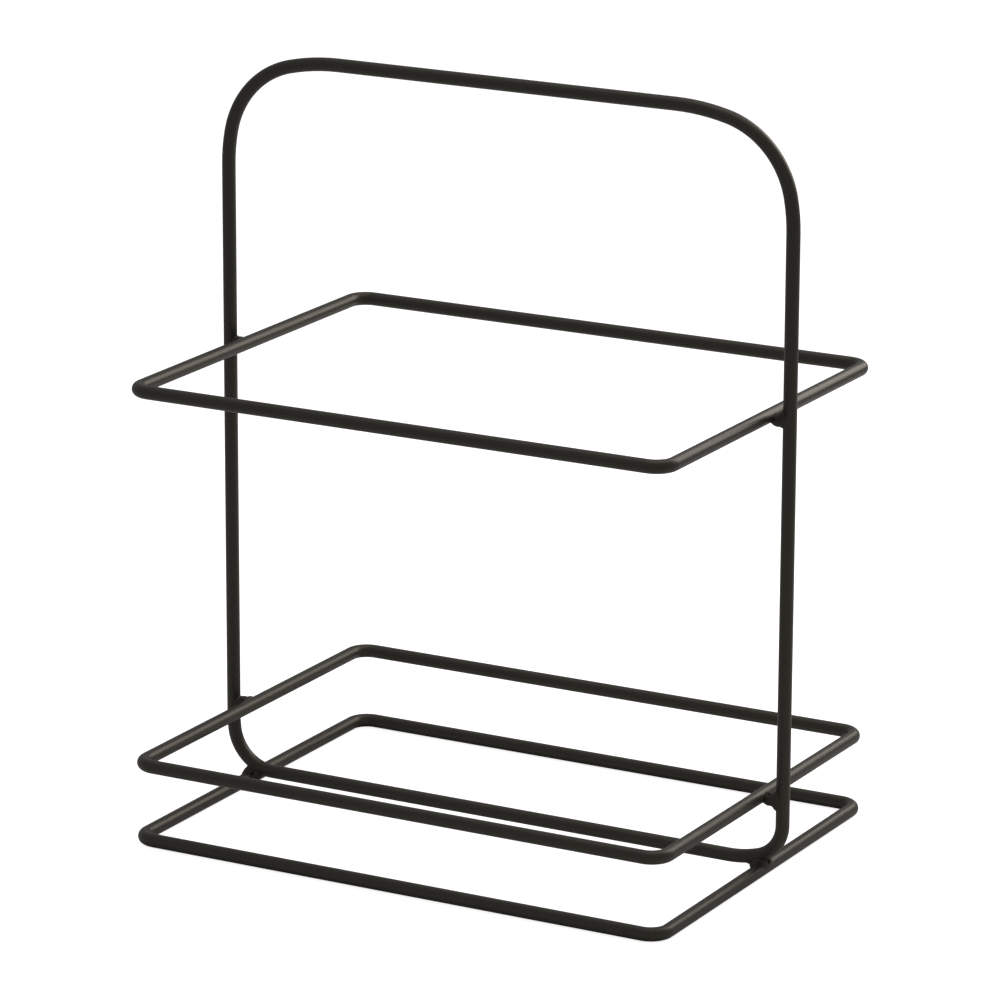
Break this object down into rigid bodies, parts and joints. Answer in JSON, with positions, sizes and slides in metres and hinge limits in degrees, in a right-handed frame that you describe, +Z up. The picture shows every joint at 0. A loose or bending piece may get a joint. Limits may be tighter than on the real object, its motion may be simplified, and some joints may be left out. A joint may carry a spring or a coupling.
{
  "type": "tiered wire frame",
  "caption": "Open carrier bent from round rod: a tall loop handle with rectangular tier rings and a base ring welded inside it, for trays or boxes that drop into the rings.",
  "frame": {"origin": "on the floor under the middle of the frame", "axes": "+X to the right along the handle's grip, +Y to the rear along the tiers' side bars, +Z up"},
  "size_m": [0.2782, 0.198, 0.3336],
  "materials": {
    "coated_rod": "satin powder coat, very dark warm black, over round steel rod",
    "coated_weld": "satin powder coat, very dark warm black, over uneven weld beads"
  },
  "bodies": {
    "root": {"handle_hoop": "coated_rod", "upper_tier_ring": "coated_rod", "lower_tier_ring": "coated_rod", "base_ring": "coated_rod", "weld_upper_left": "coated_weld", "weld_upper_right": "coated_weld", "weld_lower_left": "coated_weld", "weld_lower_right": "coated_weld", "weld_base_left": "coated_weld", "weld_base_right": "coated_weld"}
  },
  "joints": []
}
